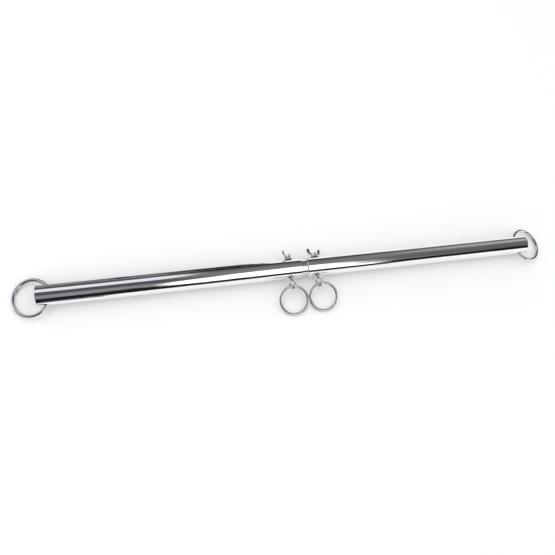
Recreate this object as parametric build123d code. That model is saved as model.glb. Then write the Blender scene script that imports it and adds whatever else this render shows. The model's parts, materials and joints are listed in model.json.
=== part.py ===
from build123d import *
import math
import os

# Two-piece chrome spreader bar, lying on a table top.
# The bar runs along X and the bolts run along Y. The table top is z = 0.
# The origin is the bottom centre of the whole object's box. All sizes are in millimetres.

# --- tubes -------------------------------------------------------------------
bar_length = 660.0         # over both tube ends
joint_gap = 8.0            # bare sleeve between the two tubes
tube_radius = 12.5
tube_wall = 1.5
tube_edge_break = 0.4      # deburred edge at each tube end

# --- coupling sleeve ----------------------------------------------------------
sleeve_length = 100.0
sleeve_radius = 10.85
sleeve_wall = 1.5

# --- end rings ----------------------------------------------------------------
end_ring_radius = 22.5     # centreline of the wire
end_ring_wire = 2.0        # radius of the wire
end_hole_radius = 3.25
end_hole_inset = 11.5      # from the tube end to the hole's axis

# --- eye bolts ----------------------------------------------------------------
left_bolt_x = -18.7        # each bolt's place along the bar, from its middle
right_bolt_x = 17.3
shank_radius = 2.5
shank_chamfer = 0.6
shank_end = 18.9           # reach of the shank behind the tube's axis
bolt_hole_radius = 2.75
eye_reach = 22.1           # from the tube's axis to the eye's centre
eye_radius = 5.4           # centreline of the eye's bar
eye_wire = 1.5
eye_twist = 25.0           # degrees that the eye is turned about the bolt
collar_radius = 4.6
collar_thickness = 1.2
collar_edge = 0.3
neck_radius = 2.9
seat_gap = 0.15            # between the tube and what is clamped on it

# --- washers and wing nuts ----------------------------------------------------
washer_radius = 6.0
washer_bore = 2.7
washer_thickness = 1.0
nut_bore = 2.65
nut_base_radius = 5.4
nut_top_radius = 4.5
nut_hub_height = 4.6
nut_rim = 0.3
wing_span = 24.0           # over both wing tips
wing_height = 10.8         # from the nut's seat to the wing tips
wing_thickness = 2.5
wing_root = 2.6            # height of the wing's lower edge at the hub
wing_tip_radius = 2.4
left_wing_turn = 52.0      # degrees that each nut's wings stand out of level
right_wing_turn = 28.0

# --- middle rings -------------------------------------------------------------
middle_ring_radius = 18.1  # centreline of the wire
middle_ring_wire = 1.7
hang_gap = 0.65            # between the eye and the ring that hangs in it
left_ring_lean = 0.0       # degrees that each ring leans along the bar in its own plane
right_ring_lean = 12.5

# --- worked out ---------------------------------------------------------------
axis_height = tube_radius
tube_length = (bar_length - joint_gap) / 2
end_hole_x = bar_length / 2 - end_hole_inset
chord_half = tube_radius - tube_wall / 2
end_ring_offset = math.sqrt(end_ring_radius**2 - chord_half**2)
end_ring_drop = math.asin((axis_height - end_ring_wire) / (end_ring_offset + end_ring_radius))
hang_reach = eye_reach + eye_radius - eye_wire - middle_ring_wire - hang_gap
straight_drop = math.asin((axis_height - middle_ring_wire) / (2 * middle_ring_radius))
front_reach = hang_reach + 2 * middle_ring_radius * math.cos(straight_drop) + middle_ring_wire
washer_seat = tube_radius + seat_gap
nut_seat = washer_seat + washer_thickness + seat_gap
back_reach = nut_seat + wing_height
axis_y = (front_reach - back_reach) / 2

toward_back = Plane(origin=(0, 0, 0), x_dir=(1, 0, 0), z_dir=(0, 1, 0))


def y_cylinder(radius, start, end):
    """A cylinder about the Y axis, from y = start to y = end."""
    length = end - start
    body = Cylinder(radius, length, align=(Align.CENTER, Align.CENTER, Align.MIN))
    return toward_back.offset(start).location * body


def x_cylinder(radius, length):
    """A cylinder about the X axis, centred on x = 0."""
    return Rot(0, 90, 0) * Cylinder(radius, length)


def on_axis(shape, x):
    """Puts a shape made about the origin on the bar's axis, at x."""
    return Pos(x, axis_y, axis_height) * shape


def tube(side):
    """One half of the bar, with its bolt hole and its end-ring hole. side is -1 or 1."""
    middle = joint_gap / 2 + tube_length / 2
    bolt_x = left_bolt_x if side < 0 else right_bolt_x
    outside = x_cylinder(tube_radius, tube_length)
    bore = x_cylinder(tube_radius - tube_wall, tube_length)
    pipe = outside - bore
    pipe = chamfer(pipe.edges().filter_by(GeomType.CIRCLE), tube_edge_break)
    bolt_hole = y_cylinder(bolt_hole_radius, -2 * tube_radius, 2 * tube_radius)
    ring_hole = y_cylinder(end_hole_radius, -2 * tube_radius, 2 * tube_radius)
    pipe -= Pos(bolt_x - side * middle, 0, 0) * bolt_hole
    pipe -= Pos(side * (end_hole_x - middle), 0, 0) * ring_hole
    return on_axis(pipe, side * middle)


def coupling_sleeve():
    """The inner tube that joins the halves, drilled for both eye bolts."""
    sleeve = x_cylinder(sleeve_radius, sleeve_length)
    sleeve -= x_cylinder(sleeve_radius - sleeve_wall, sleeve_length)
    bolt_hole = y_cylinder(bolt_hole_radius, -2 * tube_radius, 2 * tube_radius)
    for x in (left_bolt_x, right_bolt_x):
        sleeve -= Pos(x, 0, 0) * bolt_hole
    return on_axis(sleeve, 0)


def end_ring(side):
    """A round wire ring through both walls of the tube, lying down onto the table."""
    tilt = math.degrees(end_ring_drop)
    ring = Pos(end_ring_offset, 0, 0) * Torus(end_ring_radius, end_ring_wire)
    ring = Rot(0, tilt, 0) * ring
    if side < 0:
        ring = Rot(0, 0, 180) * ring
    return on_axis(ring, side * end_hole_x)


def eye_bolt(x):
    """A bolt whose head is a bent eye, with a collar that seats on the tube."""
    collar_face = tube_radius + seat_gap
    eye = Rot(0, eye_twist, 0) * Rot(0, 90, 0) * Torus(eye_radius, eye_wire)
    eye = Pos(0, -eye_reach, 0) * eye
    collar = y_cylinder(collar_radius, -collar_face - collar_thickness, -collar_face)
    collar = chamfer(collar.edges().filter_by(GeomType.CIRCLE), collar_edge)
    neck = y_cylinder(neck_radius, eye_radius - eye_reach, -collar_face)
    shank = y_cylinder(shank_radius, -collar_face, shank_end)
    far_edge = shank.edges().filter_by(GeomType.CIRCLE).sort_by(Axis.Y)[-1]
    shank = chamfer(far_edge, shank_chamfer)
    bolt = eye + neck + collar + shank
    return on_axis(bolt, x)


def washer(x):
    """A flat washer between the tube and a wing nut."""
    disc = y_cylinder(washer_radius, washer_seat, washer_seat + washer_thickness)
    disc -= y_cylinder(washer_bore, washer_seat, washer_seat + washer_thickness)
    return on_axis(disc, x)


def wing_outline():
    """The side view of one wing: x outward from the bolt's axis, y up from the nut's seat."""
    tip_x = wing_span / 2 - wing_tip_radius
    tip_y = wing_height - wing_tip_radius
    tip = Pos(tip_x, tip_y) * Circle(wing_tip_radius)
    root_middle = (nut_bore + nut_base_radius) / 2
    lower = (root_middle, wing_root)
    outer = (nut_base_radius + 1.1, wing_root + 0.6)
    lean = math.radians(-24)
    tip_outer = (tip_x + wing_tip_radius * math.cos(lean), tip_y + wing_tip_radius * math.sin(lean))
    tip_inner = (tip_x - wing_tip_radius * math.cos(lean), tip_y - wing_tip_radius * math.sin(lean))
    upper = (root_middle, nut_hub_height - nut_rim)
    blade = make_face(Polyline(lower, outer, tip_outer, tip_inner, upper, close=True))
    return blade + tip


def wing_nut(x, turn):
    """A wing nut whose wings stand out of level by turn degrees, the left one high."""
    hub = Cone(nut_base_radius, nut_top_radius, nut_hub_height, align=(Align.CENTER, Align.CENTER, Align.MIN))
    hub = chamfer(hub.edges().filter_by(GeomType.CIRCLE), nut_rim)
    wing = extrude(Plane.XZ * wing_outline(), wing_thickness / 2, both=True)
    nut = hub + wing + Rot(0, 0, 180) * wing
    nut -= Cylinder(nut_bore, 4 * nut_hub_height)
    nut = Pos(0, nut_seat, 0) * Rot(-90, 0, 0) * nut
    nut = Rot(0, turn, 0) * nut
    return on_axis(nut, x)


def middle_ring(x, lean):
    """A round wire ring hanging in a bolt's eye, its far side down on the table."""
    reach = middle_ring_radius * (1 + math.cos(math.radians(lean)))
    drop = math.degrees(math.asin((axis_height - middle_ring_wire) / reach))
    ring = Pos(0, -middle_ring_radius, 0) * Torus(middle_ring_radius, middle_ring_wire)
    ring = Rot(0, 0, lean) * ring
    ring = Rot(drop, 0, 0) * ring
    ring = Pos(0, -hang_reach, 0) * ring
    return on_axis(ring, x)


def all_pieces():
    """Every sub-part by its node name."""
    pieces = {"coupling_sleeve": coupling_sleeve()}
    for name, side in (("left", -1), ("right", 1)):
        x = left_bolt_x if side < 0 else right_bolt_x
        turn = left_wing_turn if side < 0 else right_wing_turn
        lean = left_ring_lean if side < 0 else right_ring_lean
        pieces[name + "_tube"] = tube(side)
        pieces[name + "_end_ring"] = end_ring(side)
        pieces[name + "_eye_bolt"] = eye_bolt(x)
        pieces[name + "_washer"] = washer(x)
        pieces[name + "_wing_nut"] = wing_nut(x, turn)
        pieces[name + "_middle_ring"] = middle_ring(x, lean)
    return pieces


os.makedirs("parts", exist_ok=True)
for node, shape in all_pieces().items():
    export_step(shape, "parts/" + node + ".step")
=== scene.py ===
import json
import math

import bmesh
import bpy
from mathutils import Matrix, Vector


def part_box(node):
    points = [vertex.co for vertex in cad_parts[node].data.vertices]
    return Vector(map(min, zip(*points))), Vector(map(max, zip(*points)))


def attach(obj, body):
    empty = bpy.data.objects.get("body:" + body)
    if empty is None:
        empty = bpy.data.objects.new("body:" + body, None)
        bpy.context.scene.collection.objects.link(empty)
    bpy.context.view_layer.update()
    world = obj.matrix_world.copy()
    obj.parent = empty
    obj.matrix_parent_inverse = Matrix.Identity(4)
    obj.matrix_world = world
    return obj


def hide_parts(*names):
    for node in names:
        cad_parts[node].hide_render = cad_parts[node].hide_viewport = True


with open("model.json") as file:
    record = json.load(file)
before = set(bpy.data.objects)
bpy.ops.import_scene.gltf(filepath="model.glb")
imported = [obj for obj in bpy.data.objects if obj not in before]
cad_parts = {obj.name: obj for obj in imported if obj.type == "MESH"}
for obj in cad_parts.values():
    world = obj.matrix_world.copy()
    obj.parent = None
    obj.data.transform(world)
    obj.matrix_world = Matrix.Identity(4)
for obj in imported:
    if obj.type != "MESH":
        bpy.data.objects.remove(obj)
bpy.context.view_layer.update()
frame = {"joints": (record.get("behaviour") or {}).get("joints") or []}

# Chrome spreader bar on a pale table. Everything is in metres, in the CAD frame:
# X along the bar, +Y towards the wing nuts, Z up, the table top at z = 0.

MM = 0.001
SIDES = ("left", "right")
JOINTS = {joint["name"]: joint for joint in frame["joints"]}

# --- sizes that the frame's boxes don't give --------------------------------------
TUBE_WALL = 1.5 * MM
SLEEVE_WALL = 1.5 * MM
PIPE_LIP = 0.4 * MM
BOLT_HOLE = 2.75 * MM
RING_HOLE = 3.25 * MM
HOLE_EDGE = 0.22 * MM
END_WIRE = 2.0 * MM
MIDDLE_WIRE = 1.7 * MM
SHANK = 2.5 * MM
SEAT_GAP = 0.15 * MM
EYE_RADIUS = 5.4 * MM
EYE_WIRE = 1.5 * MM
EYE_TWIST = math.radians(25)
COLLAR_RADIUS = 4.6 * MM
COLLAR_THICKNESS = 1.2 * MM
COLLAR_RIM = 0.3 * MM
NECK_RADIUS = 2.9 * MM
THREAD_PITCH = 0.8 * MM
THREAD_DEPTH = 0.44 * MM
THREAD_INSIDE = 3.0 * MM
THREAD_CHAMFER = 0.7 * MM
WASHER_BORE = 2.7 * MM
NUT_BORE = 2.65 * MM
NUT_BASE = 5.4 * MM
NUT_TOP = 4.5 * MM
NUT_HEIGHT = 4.6 * MM
NUT_RIM = 0.35 * MM
NUT_CHAMFER = 0.45 * MM
WING_SPAN = 24.0 * MM
WING_HEIGHT = 10.8 * MM
WING_THICKNESS = 2.5 * MM
WING_TIP = 2.5 * MM
WING_TURN = {"left": math.radians(52), "right": math.radians(28)}
CARD_HEIGHT = 0.6 * MM
WELD_AT = {"end": math.radians(140), "middle": math.radians(250)}

# --- fineness of the meshes ---------------------------------------------------------
PIPE_STEPS = 192
PIPE_ROW_GAP = 12 * MM
PATCH_CELLS = 12
RING_STEPS = 220
EYE_STEPS = 96
WIRE_STEPS = 32
BOLT_STEPS = 48
HEAD_STEPS = 64
WASHER_STEPS = 96
HUB_STEPS = 72
BORE_STEPS = 64
EYE_VOXEL = 0.13 * MM
NUT_VOXEL = 0.14 * MM

# the columns of a pipe's grid that face +Y and -Y, where the holes are drilled
HOLE_COLUMNS = (0, PIPE_STEPS // 2)
# slack when places along a pipe are compared
NUDGE = 0.01 * MM


def centre_of(node):
    """The middle of a CAD node's box."""
    low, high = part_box(node)
    return (low + high) / 2


def radius_of(node):
    """Half of a CAD node's height."""
    low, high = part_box(node)
    return (high.z - low.z) / 2


AXIS = centre_of("coupling_sleeve")
TUBE_RADIUS = radius_of("left_tube")
EYE_REACH = AXIS.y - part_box("left_eye_bolt")[0].y - EYE_RADIUS - EYE_WIRE


# --- mesh helpers -------------------------------------------------------------------
def add_object(name, mesh, smooth=True):
    """An object at the origin for a mesh."""
    obj = bpy.data.objects.new(name, mesh)
    bpy.context.scene.collection.objects.link(obj)
    if smooth:
        mesh.polygons.foreach_set("use_smooth", [True] * len(mesh.polygons))
    return obj


def make_object(name, verts, faces, smooth=True):
    """An object at the origin from plain lists of points and faces."""
    mesh = bpy.data.meshes.new(name)
    mesh.from_pydata([tuple(v) for v in verts], [], faces)
    mesh.validate()
    mesh.update()
    return add_object(name, mesh, smooth)


def turns(steps):
    """The angles of points spaced evenly round a turn."""
    return [2 * math.pi * k / steps for k in range(steps)]


def grid_faces(rows, steps, closed):
    """Faces between rows of points that go round. closed joins the last row to the first."""
    faces = []
    for i in range(rows if closed else rows - 1):
        j = (i + 1) % rows
        for k in range(steps):
            n = (k + 1) % steps
            faces.append((i * steps + k, j * steps + k, j * steps + n, i * steps + n))
    return faces


def lathe(profile, steps, closed):
    """Points and faces of a profile of (radius, along) turned about the Y axis."""
    verts = []
    for radius, along in profile:
        for a in turns(steps):
            verts.append(Vector((radius * math.cos(a), along, radius * math.sin(a))))
    return verts, grid_faces(len(profile), steps, closed)


def capped(verts, faces, steps, rows):
    """Closes an open lathe with a fan at each end."""
    for row, flip in ((0, False), (rows - 1, True)):
        ring = [row * steps + k for k in range(steps)]
        middle = sum((verts[v] for v in ring), Vector()) / steps
        verts.append(middle)
        tip = len(verts) - 1
        for k in range(steps):
            pair = (ring[k], ring[(k + 1) % steps])
            faces.append((tip, pair[1], pair[0]) if flip else (tip, pair[0], pair[1]))
    return verts, faces


def turned_solid(profile, steps):
    """A closed turned body from an open profile."""
    verts, faces = lathe(profile, steps, closed=False)
    return capped(verts, faces, steps, len(profile))


def arc(cx, cy, radius, start, end, count):
    """Points on an arc, angles in degrees, both ends included."""
    out = []
    for k in range(count + 1):
        a = math.radians(start + (end - start) * k / count)
        out.append((cx + radius * math.cos(a), cy + radius * math.sin(a)))
    return out


def outward(obj):
    """Makes the faces of a closed mesh point outward."""
    bm = bmesh.new()
    bm.from_mesh(obj.data)
    bmesh.ops.recalc_face_normals(bm, faces=bm.faces)
    bm.to_mesh(obj.data)
    bm.free()
    return obj


def joined(name, parts):
    """One mesh object from several pairs of points and faces."""
    verts = []
    faces = []
    for part_verts, part_faces in parts:
        base = len(verts)
        verts.extend(part_verts)
        faces.extend(tuple(i + base for i in f) for f in part_faces)
    return make_object(name, verts, faces)


def applied(obj):
    """Bakes an object's modifiers into its mesh."""
    graph = bpy.context.evaluated_depsgraph_get()
    mesh = bpy.data.meshes.new_from_object(obj.evaluated_get(graph))
    obj.modifiers.clear()
    old = obj.data
    obj.data = mesh
    bpy.data.meshes.remove(old)
    mesh.polygons.foreach_set("use_smooth", [True] * len(mesh.polygons))
    return obj


def blended(obj, voxel, passes):
    """Melts overlapping bodies into one skin, with softened seams like a forging's or casting's."""
    remesh = obj.modifiers.new("blend", "REMESH")
    remesh.mode = "VOXEL"
    remesh.voxel_size = voxel
    soften = obj.modifiers.new("soften", "SMOOTH")
    soften.factor = 0.5
    soften.iterations = passes
    return applied(obj)


def moved(verts, matrix):
    """Points taken through a matrix."""
    return [matrix @ v for v in verts]


# --- drilled pipes ------------------------------------------------------------------
def pipe_stations(start, end, holes, step, reach):
    """Places along a pipe for rows of points, close together round each hole."""
    places = {round(start, 7), round(end, 7)}
    for hole_x, _ in holes:
        count = int(round(2 * reach / step))
        for k in range(count + 1):
            places.add(round(hole_x - reach + k * step, 7))
    ordered = sorted(places)
    filled = []
    for a, b in zip(ordered, ordered[1:]):
        filled.append(a)
        pieces = max(1, int((b - a) / PIPE_ROW_GAP))
        for k in range(1, pieces):
            filled.append(a + (b - a) * k / pieces)
    filled.append(ordered[-1])
    return filled


def columns_away(k, column):
    """How many columns k lies from a hole's column, at most half a turn either way."""
    return (k - column + PIPE_STEPS // 2) % PIPE_STEPS - PIPE_STEPS // 2


def patch_point(x, k, holes, reach):
    """True for a grid point inside a hole's patch."""
    if not any(abs(x - hole_x) < reach - NUDGE for hole_x, _ in holes):
        return False
    return any(abs(columns_away(k, column)) < PATCH_CELLS for column in HOLE_COLUMNS)


def patch_cell(x, k, holes, reach):
    """True for a grid cell that a hole's patch takes the place of."""
    if not any(abs(x - hole_x) < reach for hole_x, _ in holes):
        return False
    return any(-PATCH_CELLS <= columns_away(k, column) < PATCH_CELLS for column in HOLE_COLUMNS)


def shell_grid(bm, stations, shell, holes, reach):
    """Rows of points and faces of one shell of a pipe, left open where the patches go."""
    grid = []
    for x in stations:
        row = []
        for k, a in enumerate(turns(PIPE_STEPS)):
            if patch_point(x, k, holes, reach):
                row.append(None)
            else:
                row.append(bm.verts.new((x, shell * math.cos(a), shell * math.sin(a))))
        grid.append(row)
    for i in range(len(stations) - 1):
        middle = (stations[i] + stations[i + 1]) / 2
        for k in range(PIPE_STEPS):
            n = (k + 1) % PIPE_STEPS
            corners = (grid[i][k], grid[i + 1][k], grid[i + 1][n], grid[i][n])
            if None not in corners and not patch_cell(middle, k, holes, reach):
                bm.faces.new(corners)
    return grid


def drilled_pipe(name, node, radius, wall, holes):
    """A pipe along X with rounded lips, and holes of (place, radius) drilled through along Y."""
    low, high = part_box(node)
    step = 2 * math.pi * radius / PIPE_STEPS
    reach = PATCH_CELLS * step
    first_row = PIPE_LIP + 0.35 * MM
    stations = pipe_stations(low.x + first_row, high.x - first_row, holes, step, reach)
    bm = bmesh.new()
    rows = {}
    hole_edges = {}
    for shell in (radius, radius - wall):
        rows[shell] = shell_grid(bm, stations, shell, holes, reach)
        for number, (hole_x, hole) in enumerate(holes):
            for column in HOLE_COLUMNS:
                loop = patch_loop(stations, rows[shell], hole_x, column, reach)
                edge = hole_rings(bm, loop, hole_x, column, hole, shell, radius)
                hole_edges[(shell, number, column)] = edge
    for number, (hole_x, hole) in enumerate(holes):
        for column in HOLE_COLUMNS:
            outer = hole_edges[(radius, number, column)]
            inner = hole_edges[(radius - wall, number, column)]
            bridge_hole(bm, outer, inner, hole_x, column, hole, radius, wall)
    for x, row, way in ((low.x, 0, 1), (high.x, -1, -1)):
        lip_rings(bm, rows[radius][row], rows[radius - wall][row], x, way, radius, wall)
    bmesh.ops.recalc_face_normals(bm, faces=bm.faces)
    mesh = bpy.data.meshes.new(name)
    bm.to_mesh(mesh)
    bm.free()
    mesh.transform(Matrix.Translation((0, AXIS.y, AXIS.z)))
    return add_object(name, mesh)


def patch_loop(stations, grid, hole_x, column, reach):
    """The grid's points round a patch, in order."""
    inside = [i for i, x in enumerate(stations) if abs(x - hole_x) < reach + NUDGE]
    first, last = inside[0], inside[-1]
    columns = [(column + k) % PIPE_STEPS for k in range(-PATCH_CELLS, PATCH_CELLS + 1)]
    loop = [grid[last][c] for c in columns]
    loop += [grid[i][columns[-1]] for i in reversed(inside[:-1])]
    loop += [grid[first][c] for c in reversed(columns[:-1])]
    loop += [grid[i][columns[0]] for i in inside[1:-1]]
    return loop


def hole_rings(bm, loop, hole_x, column, hole, shell, radius):
    """Rings of points from a patch's edge in to a hole. Gives the last ring and its directions."""
    turn = 0.0 if column == 0 else math.pi
    flat = []
    for v in loop:
        angle = math.atan2(v.co.z, v.co.y) - turn
        angle = (angle + math.pi) % (2 * math.pi) - math.pi
        flat.append((v.co.x - hole_x, angle))
    directions = [math.atan2(radius * a, x) for x, a in flat]
    rim = hole + HOLE_EDGE
    before = loop
    # shares of the way from the patch's edge to the hole's rim
    for share in (0.32, 0.6, 0.82, 0.94, 1.0):
        ring = []
        for (x, a), t in zip(flat, directions):
            end_x = rim * math.cos(t)
            end_a = math.asin(rim * math.sin(t) / shell)
            px = x + (end_x - x) * share
            pa = a + (end_a - a) * share + turn
            ring.append(bm.verts.new((hole_x + px, shell * math.cos(pa), shell * math.sin(pa))))
        stitch(bm, before, ring)
        before = ring
    return before, directions


def stitch(bm, outer, inner):
    """Quads between two closed rings of the same length."""
    count = len(outer)
    for k in range(count):
        n = (k + 1) % count
        bm.faces.new((outer[k], outer[n], inner[n], inner[k]))


def bridge_hole(bm, outer, inner, hole_x, column, hole, radius, wall):
    """The rounded edges and the wall of a drilled hole, between the two shells."""
    sign = 1.0 if column == 0 else -1.0
    before, directions = outer
    last, _ = inner
    rounding = [math.radians(a) for a in (30, 60, 90)]
    depths = []
    for a in rounding:
        depths.append((hole + HOLE_EDGE * (1 - math.sin(a)), HOLE_EDGE * (1 - math.cos(a))))
    depths.append((hole, wall / 2))
    for a in reversed(rounding):
        depths.append((hole + HOLE_EDGE * (1 - math.sin(a)), wall - HOLE_EDGE * (1 - math.cos(a))))
    for rim, depth in depths:
        ring = []
        for t in directions:
            shell = radius - depth
            z = rim * math.sin(t)
            y = math.sqrt(shell * shell - z * z)
            ring.append(bm.verts.new((hole_x + rim * math.cos(t), sign * y, sign * z)))
        stitch(bm, before, ring)
        before = ring
    stitch(bm, before, last)


def lip_rings(bm, outer_row, inner_row, x, way, radius, wall):
    """The rounded lip at a pipe's end. way is 1 at the low end and -1 at the high end."""
    quarter = [math.radians(90 * k / 4) for k in range(5)]
    profile = []
    for a in quarter:
        depth = PIPE_LIP * (1 - math.cos(a))
        profile.append((radius - depth, x + way * PIPE_LIP * (1 - math.sin(a))))
    bore = radius - wall
    small = PIPE_LIP * 0.7
    for a in reversed(quarter):
        profile.append((bore + small * (1 - math.cos(a)), x + way * small * (1 - math.sin(a))))
    before = outer_row
    for r, px in profile:
        ring = [bm.verts.new((px, r * math.cos(a), r * math.sin(a))) for a in turns(PIPE_STEPS)]
        stitch(bm, before, ring)
        before = ring
    stitch(bm, before, inner_row)


# --- wire rings ---------------------------------------------------------------------
def wire_ring(name, centre, u, v, radius, wire, weld_at):
    """A wire bent round and butt-welded: a slight swell with a fine groove at the seam.
    u and v span its plane, and weld_at is the seam's angle."""
    normal = u.cross(v)
    verts = []
    for a in turns(RING_STEPS):
        away = (a - weld_at + math.pi) % (2 * math.pi) - math.pi
        arc_length = away * radius
        swell = 0.035 * math.exp(-((arc_length / (0.55 * wire)) ** 2))
        groove = 0.05 * math.exp(-((arc_length / (0.14 * wire)) ** 2))
        r = wire * (1 + swell - groove)
        out = u * math.cos(a) + v * math.sin(a)
        for b in turns(WIRE_STEPS):
            verts.append(centre + out * (radius + r * math.cos(b)) + normal * (r * math.sin(b)))
    return outward(make_object(name, verts, grid_faces(RING_STEPS, WIRE_STEPS, closed=True)))


def hinge_of(node):
    """The point that a ring's joint turns about."""
    return Vector(JOINTS[node + "_swing"]["pos_m"])


def end_ring(node):
    """The ring through a tube's end. Its plane holds Y and the line from hinge to centre."""
    low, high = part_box(node)
    centre = centre_of(node)
    out = (centre - hinge_of(node)).normalized()
    across = Vector((0, 1, 0))
    radius = (high.y - low.y) / 2 - END_WIRE
    return wire_ring(node + "_wire", centre, out, across, radius, END_WIRE, WELD_AT["end"])


def middle_ring(node):
    """The ring in a bolt's eye. Its plane holds X and the slope from hinge to centre."""
    low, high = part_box(node)
    centre = centre_of(node)
    slope = centre - hinge_of(node)
    slope.x = 0
    slope.normalize()
    along = Vector((1, 0, 0))
    radius = (high.x - low.x) / 2 - MIDDLE_WIRE
    return wire_ring(node + "_wire", centre, along, slope, radius, MIDDLE_WIRE, WELD_AT["middle"])


# --- eye bolts ----------------------------------------------------------------------
def helical_thread(start, end):
    """A helical thread as a turned surface whose radius follows the helix."""
    rows_per_turn = 10
    run_in = 1.5 * THREAD_PITCH
    crest, flank = 0.12, 0.7
    count = int((end - start) / THREAD_PITCH * rows_per_turn)
    verts = []
    for i in range(count + 1):
        along = start + (end - start) * i / count
        fade = min(1.0, (along - start) / run_in)
        chamfer = max(0.0, along - (end - THREAD_CHAMFER)) * 0.9
        for k, a in enumerate(turns(BOLT_STEPS)):
            turn = (along / THREAD_PITCH - k / BOLT_STEPS) % 1.0
            ridge = abs(turn - 0.5) * 2
            cut = THREAD_DEPTH * min(1.0, max(0.0, (ridge - crest) / flank)) * fade
            radius = min(SHANK - cut, SHANK - chamfer)
            verts.append(Vector((radius * math.cos(a), along, radius * math.sin(a))))
    faces = grid_faces(count + 1, BOLT_STEPS, closed=False)
    return capped(verts, faces, BOLT_STEPS, count + 1)


def bolt_head(name, seat):
    """Points and faces of the eye, its neck and the collar, blended like a forging."""
    eye = []
    for a in turns(EYE_STEPS):
        for b in turns(WIRE_STEPS):
            r = EYE_RADIUS + EYE_WIRE * math.cos(b)
            point = (EYE_WIRE * math.sin(b), r * math.cos(a) - EYE_REACH, r * math.sin(a))
            eye.append(Vector(point))
    eye = moved(eye, Matrix.Rotation(EYE_TWIST, 4, "Y"))
    neck_end = -EYE_REACH + EYE_RADIUS - 0.4 * MM
    back = -seat - COLLAR_THICKNESS
    profile = [
        (NECK_RADIUS * 0.75, neck_end),
        (NECK_RADIUS * 0.96, neck_end + 0.7 * MM),
        (NECK_RADIUS, back - 0.1 * MM),
        (COLLAR_RADIUS - COLLAR_RIM, back),
        (COLLAR_RADIUS, back + COLLAR_RIM),
        (COLLAR_RADIUS, -seat - COLLAR_RIM),
        (COLLAR_RADIUS - COLLAR_RIM, -seat),
    ]
    eye_faces = grid_faces(EYE_STEPS, WIRE_STEPS, closed=True)
    head = outward(joined(name, [(eye, eye_faces), turned_solid(profile, HEAD_STEPS)]))
    blended(head, EYE_VOXEL, passes=3)
    verts = [v.co.copy() for v in head.data.vertices]
    faces = [tuple(p.vertices) for p in head.data.polygons]
    bpy.data.objects.remove(head)
    return verts, faces


def eye_bolt(node):
    """A bolt with a formed eye, a collar and a threaded end."""
    seat = TUBE_RADIUS + SEAT_GAP
    head = bolt_head(node + "_head", seat)
    thread_start = TUBE_RADIUS - THREAD_INSIDE
    thread_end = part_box(node)[1].y - AXIS.y
    plain = [(SHANK, -seat - 0.2 * MM), (SHANK, 0.0), (SHANK, thread_start - 0.02 * MM)]
    shank = turned_solid(plain, BOLT_STEPS)
    bolt = joined(node + "_body", [head, shank, helical_thread(thread_start, thread_end)])
    bolt.data.transform(Matrix.Translation((centre_of(node).x, AXIS.y, AXIS.z)))
    return bolt


# --- washers and wing nuts ----------------------------------------------------------
def washer(node):
    """A stamped washer: rounded on its punched side, sharper on the other."""
    low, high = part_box(node)
    outer = (high.x - low.x) / 2
    thick = high.y - low.y
    soft, crisp = 0.3 * MM, 0.12 * MM
    profile = arc(outer - soft, thick - soft, soft, 90, 0, 4)
    profile += arc(outer - crisp, crisp, crisp, 0, -90, 3)
    profile += arc(WASHER_BORE + crisp, crisp, crisp, 270, 180, 3)
    profile += arc(WASHER_BORE + soft, thick - soft, soft, 180, 90, 4)
    verts, faces = lathe(profile, WASHER_STEPS, closed=True)
    place = Matrix.Translation((centre_of(node).x, low.y, AXIS.z))
    return outward(make_object(node + "_disc", moved(verts, place), faces))


def wing_outline():
    """One wing from the side: a waisted ear with a round tip. x is outward, y off the seat."""
    lower_edge = ((3.0, 0.9), (5.6, 1.1), (7.9, 2.2), (10.1, 4.4))
    upper_edge = ((6.9, 5.9), (5.6, 4.3), (4.6, 3.7), (3.0, 3.8))
    points = [(x * MM, y * MM) for x, y in lower_edge]
    points += arc(WING_SPAN / 2 - WING_TIP, WING_HEIGHT - WING_TIP, WING_TIP, -25, 178, 16)
    points += [(x * MM, y * MM) for x, y in upper_edge]
    return points


def wing_solid(sign):
    """A wing as a closed slab, smaller at its two faces than between them."""
    outline = wing_outline()
    count = len(outline)
    middle = (sum(p[0] for p in outline) / count, sum(p[1] for p in outline) / count)
    half = WING_THICKNESS / 2
    layers = ((-half, 0.9), (-half * 0.62, 1.0), (half * 0.62, 1.0), (half, 0.9))
    verts = []
    for z, grow in layers:
        for px, py in outline:
            qx = middle[0] + (px - middle[0]) * grow
            qy = middle[1] + (py - middle[1]) * grow
            verts.append(Vector((sign * qx, qy, z)))
    faces = []
    for layer in range(len(layers) - 1):
        a = layer * count
        for k in range(count):
            n = (k + 1) % count
            faces.append((a + k, a + n, a + count + n, a + count + k))
    faces.append(tuple(range(count)))
    top = (len(layers) - 1) * count
    faces.append(tuple(top + k for k in reversed(range(count))))
    return verts, faces


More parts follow.
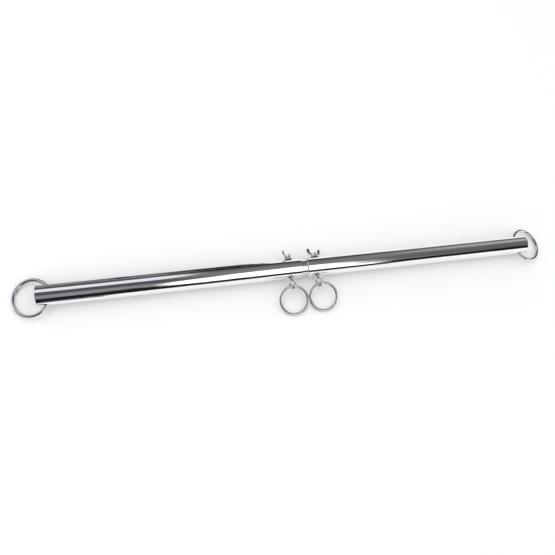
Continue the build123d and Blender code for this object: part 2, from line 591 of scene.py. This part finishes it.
def wing_nut(node, x, turn):
    """A cast wing nut: a tapered hub, two ears blended into it, and a bore with chamfered ends."""
    hub_profile = [
        (NUT_BASE - NUT_RIM, 0),
        (NUT_BASE, NUT_RIM),
        (NUT_BASE, 1.1 * MM),
        (NUT_BASE - 0.5 * MM, 1.5 * MM),
        (NUT_TOP + 0.1 * MM, NUT_HEIGHT - NUT_RIM),
        (NUT_TOP - NUT_RIM, NUT_HEIGHT),
    ]
    hub = turned_solid(hub_profile, HUB_STEPS)
    nut = outward(joined(node + "_casting", [hub, wing_solid(1.0), wing_solid(-1.0)]))
    blended(nut, NUT_VOXEL, passes=5)
    flare = NUT_BORE + NUT_CHAMFER * 3
    drill_profile = [
        (flare, -2 * NUT_CHAMFER),
        (NUT_BORE, NUT_CHAMFER),
        (NUT_BORE, NUT_HEIGHT - NUT_CHAMFER),
        (flare, NUT_HEIGHT + 2 * NUT_CHAMFER),
    ]
    drill = outward(make_object(node + "_drill", *turned_solid(drill_profile, BORE_STEPS)))
    bore = nut.modifiers.new("bore", "BOOLEAN")
    bore.operation = "DIFFERENCE"
    bore.solver = "EXACT"
    bore.object = drill
    applied(nut)
    bpy.data.objects.remove(drill)
    place = Matrix.Translation((x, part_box(node)[0].y, AXIS.z))
    nut.data.transform(place @ Matrix.Rotation(turn, 4, "Y"))
    return nut


# --- materials ----------------------------------------------------------------------
class Tree:
    """Short calls for building a node tree."""

    def __init__(self, owner):
        owner.use_nodes = True
        self.tree = owner.node_tree
        self.tree.nodes.clear()

    def add(self, kind, **values):
        node = self.tree.nodes.new(kind)
        for key, value in values.items():
            setattr(node, key, value)
        return node

    def link(self, a, b):
        self.tree.links.new(a, b)

    def math(self, operation, a, b):
        node = self.add("ShaderNodeMath", operation=operation)
        for socket, value in zip(node.inputs, (a, b)):
            if isinstance(value, (int, float)):
                socket.default_value = value
            else:
                self.link(value, socket)
        return node.outputs["Value"]

    def spread(self, value, low, high, out_low, out_high):
        """Maps low to high smoothly onto out_low to out_high."""
        node = self.add("ShaderNodeMapRange", interpolation_type="SMOOTHSTEP")
        limits = {"From Min": low, "From Max": high, "To Min": out_low, "To Max": out_high}
        for key, number in limits.items():
            node.inputs[key].default_value = number
        self.link(value, node.inputs["Value"])
        return node.outputs["Result"]


class Paint(Tree):
    """A material with one shader, coloured and textured in the object's own metres."""

    def __init__(self, name):
        self.material = bpy.data.materials.new(name)
        super().__init__(self.material)
        self.shader = self.add("ShaderNodeBsdfPrincipled")
        output = self.add("ShaderNodeOutputMaterial")
        self.link(self.shader.outputs["BSDF"], output.inputs["Surface"])
        self.coords = self.add("ShaderNodeTexCoord").outputs["Object"]

    def set(self, key, value):
        self.shader.inputs[key].default_value = value

    def noise(self, stretch, scale, detail, roughness, distortion=0.0):
        mapping = self.add("ShaderNodeMapping")
        mapping.inputs["Scale"].default_value = stretch
        self.link(self.coords, mapping.inputs["Vector"])
        node = self.add("ShaderNodeTexNoise")
        node.inputs["Scale"].default_value = scale
        node.inputs["Detail"].default_value = detail
        node.inputs["Roughness"].default_value = roughness
        node.inputs["Distortion"].default_value = distortion
        self.link(mapping.outputs["Vector"], node.inputs["Vector"])
        return node.outputs["Fac"]

    def bump(self, height, distance, before=None):
        node = self.add("ShaderNodeBump")
        node.inputs["Strength"].default_value = 1.0
        node.inputs["Distance"].default_value = distance
        self.link(height, node.inputs["Height"])
        if before is not None:
            self.link(before, node.inputs["Normal"])
        return node.outputs["Normal"]


def plated(name, colour, polish, smear_and_shade_band, grain, depth):
    """Bright plate: smeared polish marks in the gloss, and hair scratches and a slight waviness
    in the surface. polish is its roughness, smear what handling adds in places, grain the
    scratches' scale along X, Y and Z, and depth how deep they are."""
    n = Paint(name)
    n.set("Metallic", 1.0)
    n.set("Base Color", (*colour, 1.0))
    broad = tuple(v * 0.22 for v in grain)
    scratches = n.noise(grain, scale=1.0, detail=4.0, roughness=0.6)
    wave = n.noise(broad, scale=1.0, detail=1.0, roughness=0.4)
    smudge = n.noise((1, 1, 1), scale=34.0, detail=3.0, roughness=0.55, distortion=0.4)
    fine = n.spread(scratches, 0.35, 0.7, polish * 0.75, polish * 1.3)
    haze = n.spread(smudge, 0.48, 0.72, 0.0, smear_and_shade_band)
    n.link(n.math("ADD", fine, haze), n.shader.inputs["Roughness"])
    rolling = n.bump(wave, depth * 3)
    n.link(n.bump(scratches, depth, before=rolling), n.shader.inputs["Normal"])
    return n.material


def table_paint():
    """Matt white paint."""
    n = Paint("table_white")
    n.set("Base Color", (0.90, 0.90, 0.905, 1.0))
    n.set("Roughness", 0.75)
    n.set("Specular IOR Level", 0.2)
    return n.material


# --- the bar ------------------------------------------------------------------------
def finish_piece(obj, node, body, material):
    """Gives a piece its material and the body that it moves with, and hides the CAD node that it
    takes the place of.
    """
    obj.data.materials.clear()
    obj.data.materials.append(material)
    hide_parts(node)
    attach(obj, body)


def build_bar():
    """Every visible piece of the object."""
    tube = plated(
        "tube_chrome", (0.92, 0.92, 0.93),
        polish=0.03, smear_and_shade_band=0.03, grain=(4, 420, 420), depth=0.07 * MM,
    )
    wire = {"polish": 0.035, "smear_and_shade_band": 0.03, "grain": (500, 500, 500), "depth": 0.002 * MM}
    # painted shade: the rings' plates are darker copies of the chrome, the middle rings' the
    # darkest, which darkens their reflections
    end_wire = plated("ring_chrome", (0.76, 0.76, 0.772), **wire)
    middle_wire = plated("middle_ring_chrome", (0.60, 0.60, 0.612), **wire)
    hardware = plated(
        "hardware_chrome", (0.93, 0.93, 0.94),
        polish=0.06, smear_and_shade_band=0.05, grain=(700, 700, 700), depth=0.003 * MM,
    )
    cast = plated(
        "cast_chrome", (0.93, 0.93, 0.94),
        polish=0.2, smear_and_shade_band=0.06, grain=(420, 420, 420), depth=0.01 * MM,
    )
    steel = plated(
        "sleeve_steel", (0.85, 0.85, 0.86),
        polish=0.13, smear_and_shade_band=0.06, grain=(1500, 60, 60), depth=0.002 * MM,
    )
    bolt_x = {side: centre_of(side + "_washer").x for side in SIDES}

    node = "coupling_sleeve"
    holes = [(bolt_x[side], BOLT_HOLE) for side in SIDES]
    pipe = drilled_pipe(node + "_pipe", node, radius_of(node), SLEEVE_WALL, holes)
    finish_piece(pipe, node, "bar", steel)
    for side in SIDES:
        node = side + "_tube"
        ring_x = JOINTS[side + "_end_ring_swing"]["pos_m"][0]
        holes = sorted([(bolt_x[side], BOLT_HOLE), (ring_x, RING_HOLE)])
        pipe = drilled_pipe(node + "_pipe", node, TUBE_RADIUS, TUBE_WALL, holes)
        finish_piece(pipe, node, "bar", tube)
        node = side + "_end_ring"
        finish_piece(end_ring(node), node, node, end_wire)
        node = side + "_middle_ring"
        finish_piece(middle_ring(node), node, node, middle_wire)
        node = side + "_eye_bolt"
        finish_piece(eye_bolt(node), node, "bar", hardware)
        node = side + "_washer"
        finish_piece(washer(node), node, node, hardware)
        node = side + "_wing_nut"
        nut = wing_nut(node, bolt_x[side], WING_TURN[side])
        finish_piece(nut, node, node, cast)


# --- studio -------------------------------------------------------------------------
def table_top():
    """A plain pale table, far larger than the view."""
    size = 8.0
    verts = [(-size, -size, 0), (size, -size, 0), (size, size, 0), (-size, size, 0)]
    floor = make_object("table_top", verts, [(0, 1, 2, 3)], smooth=False)
    floor.data.materials.append(table_paint())


class Sky(Tree):
    """A world made of soft-edged patches. A patch is a convex outline in degrees: across is the
    lean of a direction along the bar, roll its turn from straight up towards -Y."""

    def __init__(self, base):
        self.world = bpy.data.worlds.new("studio")
        super().__init__(self.world)
        degrees = 180 / math.pi
        split = self.add("ShaderNodeSeparateXYZ")
        self.link(self.add("ShaderNodeTexCoord").outputs["Generated"], split.inputs["Vector"])
        front = self.math("MULTIPLY", split.outputs["Y"], -1.0)
        roll = self.math("ARCTAN2", front, split.outputs["Z"])
        place = self.add("ShaderNodeCombineXYZ")
        self.link(self.math("MULTIPLY", split.outputs["X"], degrees), place.inputs["X"])
        self.link(self.math("MULTIPLY", roll, degrees), place.inputs["Y"])
        place.inputs["Z"].default_value = 1.0
        self.place = place.outputs["Vector"]
        colour = self.add("ShaderNodeRGB")
        colour.outputs[0].default_value = (*base, 1.0)
        self.colour = colour.outputs[0]

    def inside(self, start, end, middle, soft):
        """1 on middle's side of the line from start to end, 0 beyond it, with a soft edge."""
        a = end[1] - start[1]
        b = start[0] - end[0]
        size = math.hypot(a, b)
        a, b = a / size, b / size
        c = -(a * start[0] + b * start[1])
        if a * middle[0] + b * middle[1] + c < 0:
            a, b, c = -a, -b, -c
        distance = self.add("ShaderNodeVectorMath", operation="DOT_PRODUCT")
        self.link(self.place, distance.inputs[0])
        distance.inputs[1].default_value = (a, b, c)
        return self.spread(distance.outputs["Value"], -soft / 2, soft / 2, 0.0, 1.0)

    def over(self, mask, below, above):
        """Colour above where mask is 1, and colour below where it is 0."""
        mix = self.add("ShaderNodeMix", data_type="RGBA")
        self.link(mask, mix.inputs[0])
        for socket, colour in ((mix.inputs[6], below), (mix.inputs[7], above)):
            if isinstance(colour, tuple):
                socket.default_value = (*colour, 1.0)
            else:
                self.link(colour, socket)
        return mix.outputs[2]

    def patch(self, colour, soft, *corners):
        """Lays a patch over what is there. soft is one softness, or one for each edge."""
        count = len(corners)
        softs = soft if isinstance(soft, tuple) else (soft,) * count
        middle = (sum(c[0] for c in corners) / count, sum(c[1] for c in corners) / count)
        mask = None
        for k in range(count):
            edge = self.inside(corners[k], corners[(k + 1) % count], middle, softs[k])
            mask = edge if mask is None else self.math("MULTIPLY", mask, edge)
        self.colour = self.over(mask, self.colour, colour)

    def done(self, fill, backdrop):
        """Reflections see the patches, soft light comes from fill, and the camera sees backdrop."""
        path = self.add("ShaderNodeLightPath")
        light = self.over(path.outputs["Is Glossy Ray"], fill, self.colour)
        seen = self.over(path.outputs["Is Camera Ray"], light, backdrop)
        background = self.add("ShaderNodeBackground")
        self.link(seen, background.inputs["Color"])
        output = self.add("ShaderNodeOutputWorld")
        self.link(background.outputs["Background"], output.inputs["Surface"])
        bpy.context.scene.world = self.world


def grey(value, cool=0.0):
    """A grey, a little blue by cool."""
    return (value, value * (1 - 0.02 * cool), value * (1 + 0.08 * cool))


def studio_world():
    """Softboxes, walls and flags as the polished tube sees them."""
    white = grey(1.1)
    black = grey(0.012)
    sky = Sky(grey(0.20, cool=0.3))
    # far right: a dark room behind and above, and a window wall in front
    sky.patch(grey(0.025), 6, (36, -110), (100, -110), (100, 14), (38, 14))
    sky.patch(grey(1.5), 4, (38.5, 16), (100, 16), (100, 90), (38.5, 90))
    # right-hand wall: dim above and in front, lighter behind
    sky.patch(grey(0.12, cool=1.0), 10, (22, -16), (37, -18), (37, 62), (24, 62), (21, 30))
    sky.patch(grey(0.30), 12, (16, -62), (38, -64), (38, -34), (26, -28))
    # dim band low behind the middle and the right half, with a lighter core on the right
    sky.patch(grey(0.045), (8, 14, 56, 8), (3, -120), (30, -120), (26, -52), (3, -52))
    sky.patch(grey(0.05), (8, 3, 12, 8), (22, -120), (37, -120), (37, -74), (22, -74))
    sky.patch(grey(0.42), (8, 3, 10, 8), (24, -120), (36, -120), (36, -84), (24, -84))
    # a bright edge on the right-hand wall
    sky.patch(grey(0.45), 5, (25, -46), (36, -56), (36, -36), (26, -41))
    # left-hand wall: dim above, lighter in front, dim low behind
    sky.patch(grey(0.085, cool=1.0), 8, (-60, -18), (3, -22), (5, 12), (-60, 12))
    sky.patch(grey(0.27, cool=1.0), 8, (-13, 14), (-1, 16), (2, 50), (-13, 54))
    sky.patch(grey(0.08), 8, (-60, -95), (8, -95), (5, -62), (-60, -60))
    # strip light over the back of the left half
    strip = ((-60, -57), (3.2, -58), (4.6, -43), (2, -24), (-60, -12))
    sky.patch(grey(0.84, cool=0.8), (4, 2, 2, 6, 6), *strip)
    # flag low behind the middle
    sky.patch(grey(0.01), 4, (2.6, -115), (13, -115), (11, -70), (4.4, -68))
    # main softbox over the middle and the right half, from just behind to in front
    box = ((0.7, 34), (2.3, 20), (7.9, 5), (14.6, -5), (17.8, -1), (20.6, 15), (22.6, 40))
    sky.patch(grey(1.6), (1, 2, 3, 3, 4, 4, 1.5, 2, 1), *box, (22.6, 64), (2.9, 65))
    # flags below the softbox and at its right end, with a soft light spot between them
    sky.patch(grey(0.02), 3, (1, 57), (24.2, 56), (24.5, 83), (8, 84), (1, 88))
    right_flag = ((22.8, 34), (38, 32), (38, 65), (35, 65), (22.8, 74))
    sky.patch(grey(0.008), (26, 2, 3, 3, 1.5), *right_flag)
    sky.patch(grey(0.27), (3, 8, 4, 3), (20, 28), (29.5, 31), (29.5, 39), (20, 41))
    # flags in front of the left half, and the dark room beyond its end
    sky.patch(black, (8, 2, 2, 4), (-4, 41), (0, 46), (4, 80), (-4, 90))
    left_flag = ((-70, 53), (0, 50), (3, 64), (2.6, 86), (-2, 99), (-70, 99))
    sky.patch(black, (7, 3, 2, 3, 3, 3), *left_flag)
    sky.patch(grey(0.03), 8, (-90, 16), (-14, 16), (-14, 99), (-90, 99))
    # bright strip low in front, beyond the flags
    sky.patch(white, 2, (2, 88), (24, 82.5), (24, 99), (2, 99))
    sky.patch(white, 2, (23.6, 75), (36, 66.5), (70, 66), (70, 99), (23.6, 99))
    sky.done(fill=(1.05, 1.05, 1.066), backdrop=(1.0, 1.0, 1.0))


def card(name, outline, material):
    """A dark card lying on the table, which only reflections see: a painted reflection of shade."""
    verts = [(x, y, CARD_HEIGHT) for x, y in outline]
    obj = make_object(name, verts, [tuple(range(len(outline)))], smooth=False)
    obj.data.materials.append(material)
    obj.visible_camera = False
    obj.visible_diffuse = False
    obj.visible_shadow = False


def card_paint(name, light, middle, dark):
    """Painted reflection of shade for the cards: matt paint from light at the bar's left end to
    dark near its middle, with one dark band of painted shade.
    """
    n = Paint(name)
    split = n.add("ShaderNodeSeparateXYZ")
    n.link(n.coords, split.inputs["Vector"])
    along = split.outputs["X"]
    shade = n.spread(along, -0.30, -0.24, light, middle)
    shade = n.math("MULTIPLY", shade, n.spread(along, -0.185, -0.135, 1.0, dark / middle))
    # painted shade: one dark band across the card, seen only in reflections
    rise = n.spread(along, -0.255, -0.235, 0.0, 1.0)
    fall = n.spread(along, -0.235, -0.212, 1.0, 0.0)
    smear_and_shade_band = n.spread(n.math("MULTIPLY", rise, fall), 0.0, 1.0, 1.0, dark / middle)
    n.link(n.math("MULTIPLY", shade, smear_and_shade_band), n.shader.inputs["Base Color"])
    n.set("Roughness", 0.9)
    return n.material


def cards():
    """Painted reflections of shade on the table: dark cards which only reflections see, behind the
    left half and in front of its end.
    """
    far = -1.5
    near_edge = AXIS.y + 8 * MM
    back = [(far, near_edge), (-0.09, near_edge), (-0.044, AXIS.y + 0.055)]
    back += [(0.03, AXIS.y + 0.32), (0.12, AXIS.y + 0.8), (far, AXIS.y + 0.8)]
    card("back_card", back, card_paint("card_grey", light=0.19, middle=0.11, dark=0.014))
    front = [(far, AXIS.y - 1.5), (-0.16, AXIS.y - 1.5)]
    front += [(-0.26, AXIS.y - 0.075), (far, AXIS.y - 0.075)]
    card("front_card", front, card_paint("card_black", light=0.02, middle=0.02, dark=0.014))


def key_light():
    """One large soft lamp behind and to the left, above the table."""
    lamp = bpy.data.lights.new("key", "AREA")
    lamp.shape = "RECTANGLE"
    lamp.size = 1.2
    lamp.size_y = 0.9
    lamp.energy = 3.5
    lamp.color = (1.0, 0.99, 0.98)
    obj = bpy.data.objects.new("key", lamp)
    bpy.context.scene.collection.objects.link(obj)
    place = Vector((-0.75, 0.35, 1.5))
    obj.location = place
    obj.rotation_euler = (-place).to_track_quat("-Z", "Y").to_euler()
    obj.visible_glossy = False


def camera():
    """Above and a little in front of the bar, nearer its left end."""
    from_axis = Vector((-0.19545, -0.2159, 0.6798))
    turned = (18.464, -10.125, -9.787)
    data = bpy.data.cameras.new("camera")
    data.sensor_width = 36.0
    data.lens = 36.42
    data.clip_start = 0.01
    data.clip_end = 50.0
    obj = bpy.data.objects.new("camera", data)
    bpy.context.scene.collection.objects.link(obj)
    obj.location = AXIS + from_axis
    obj.rotation_euler = [math.radians(a) for a in turned]
    bpy.context.scene.camera = obj


build_bar()
table_top()
studio_world()
cards()
key_light()
camera()
bpy.context.scene.view_settings.view_transform = "Standard"
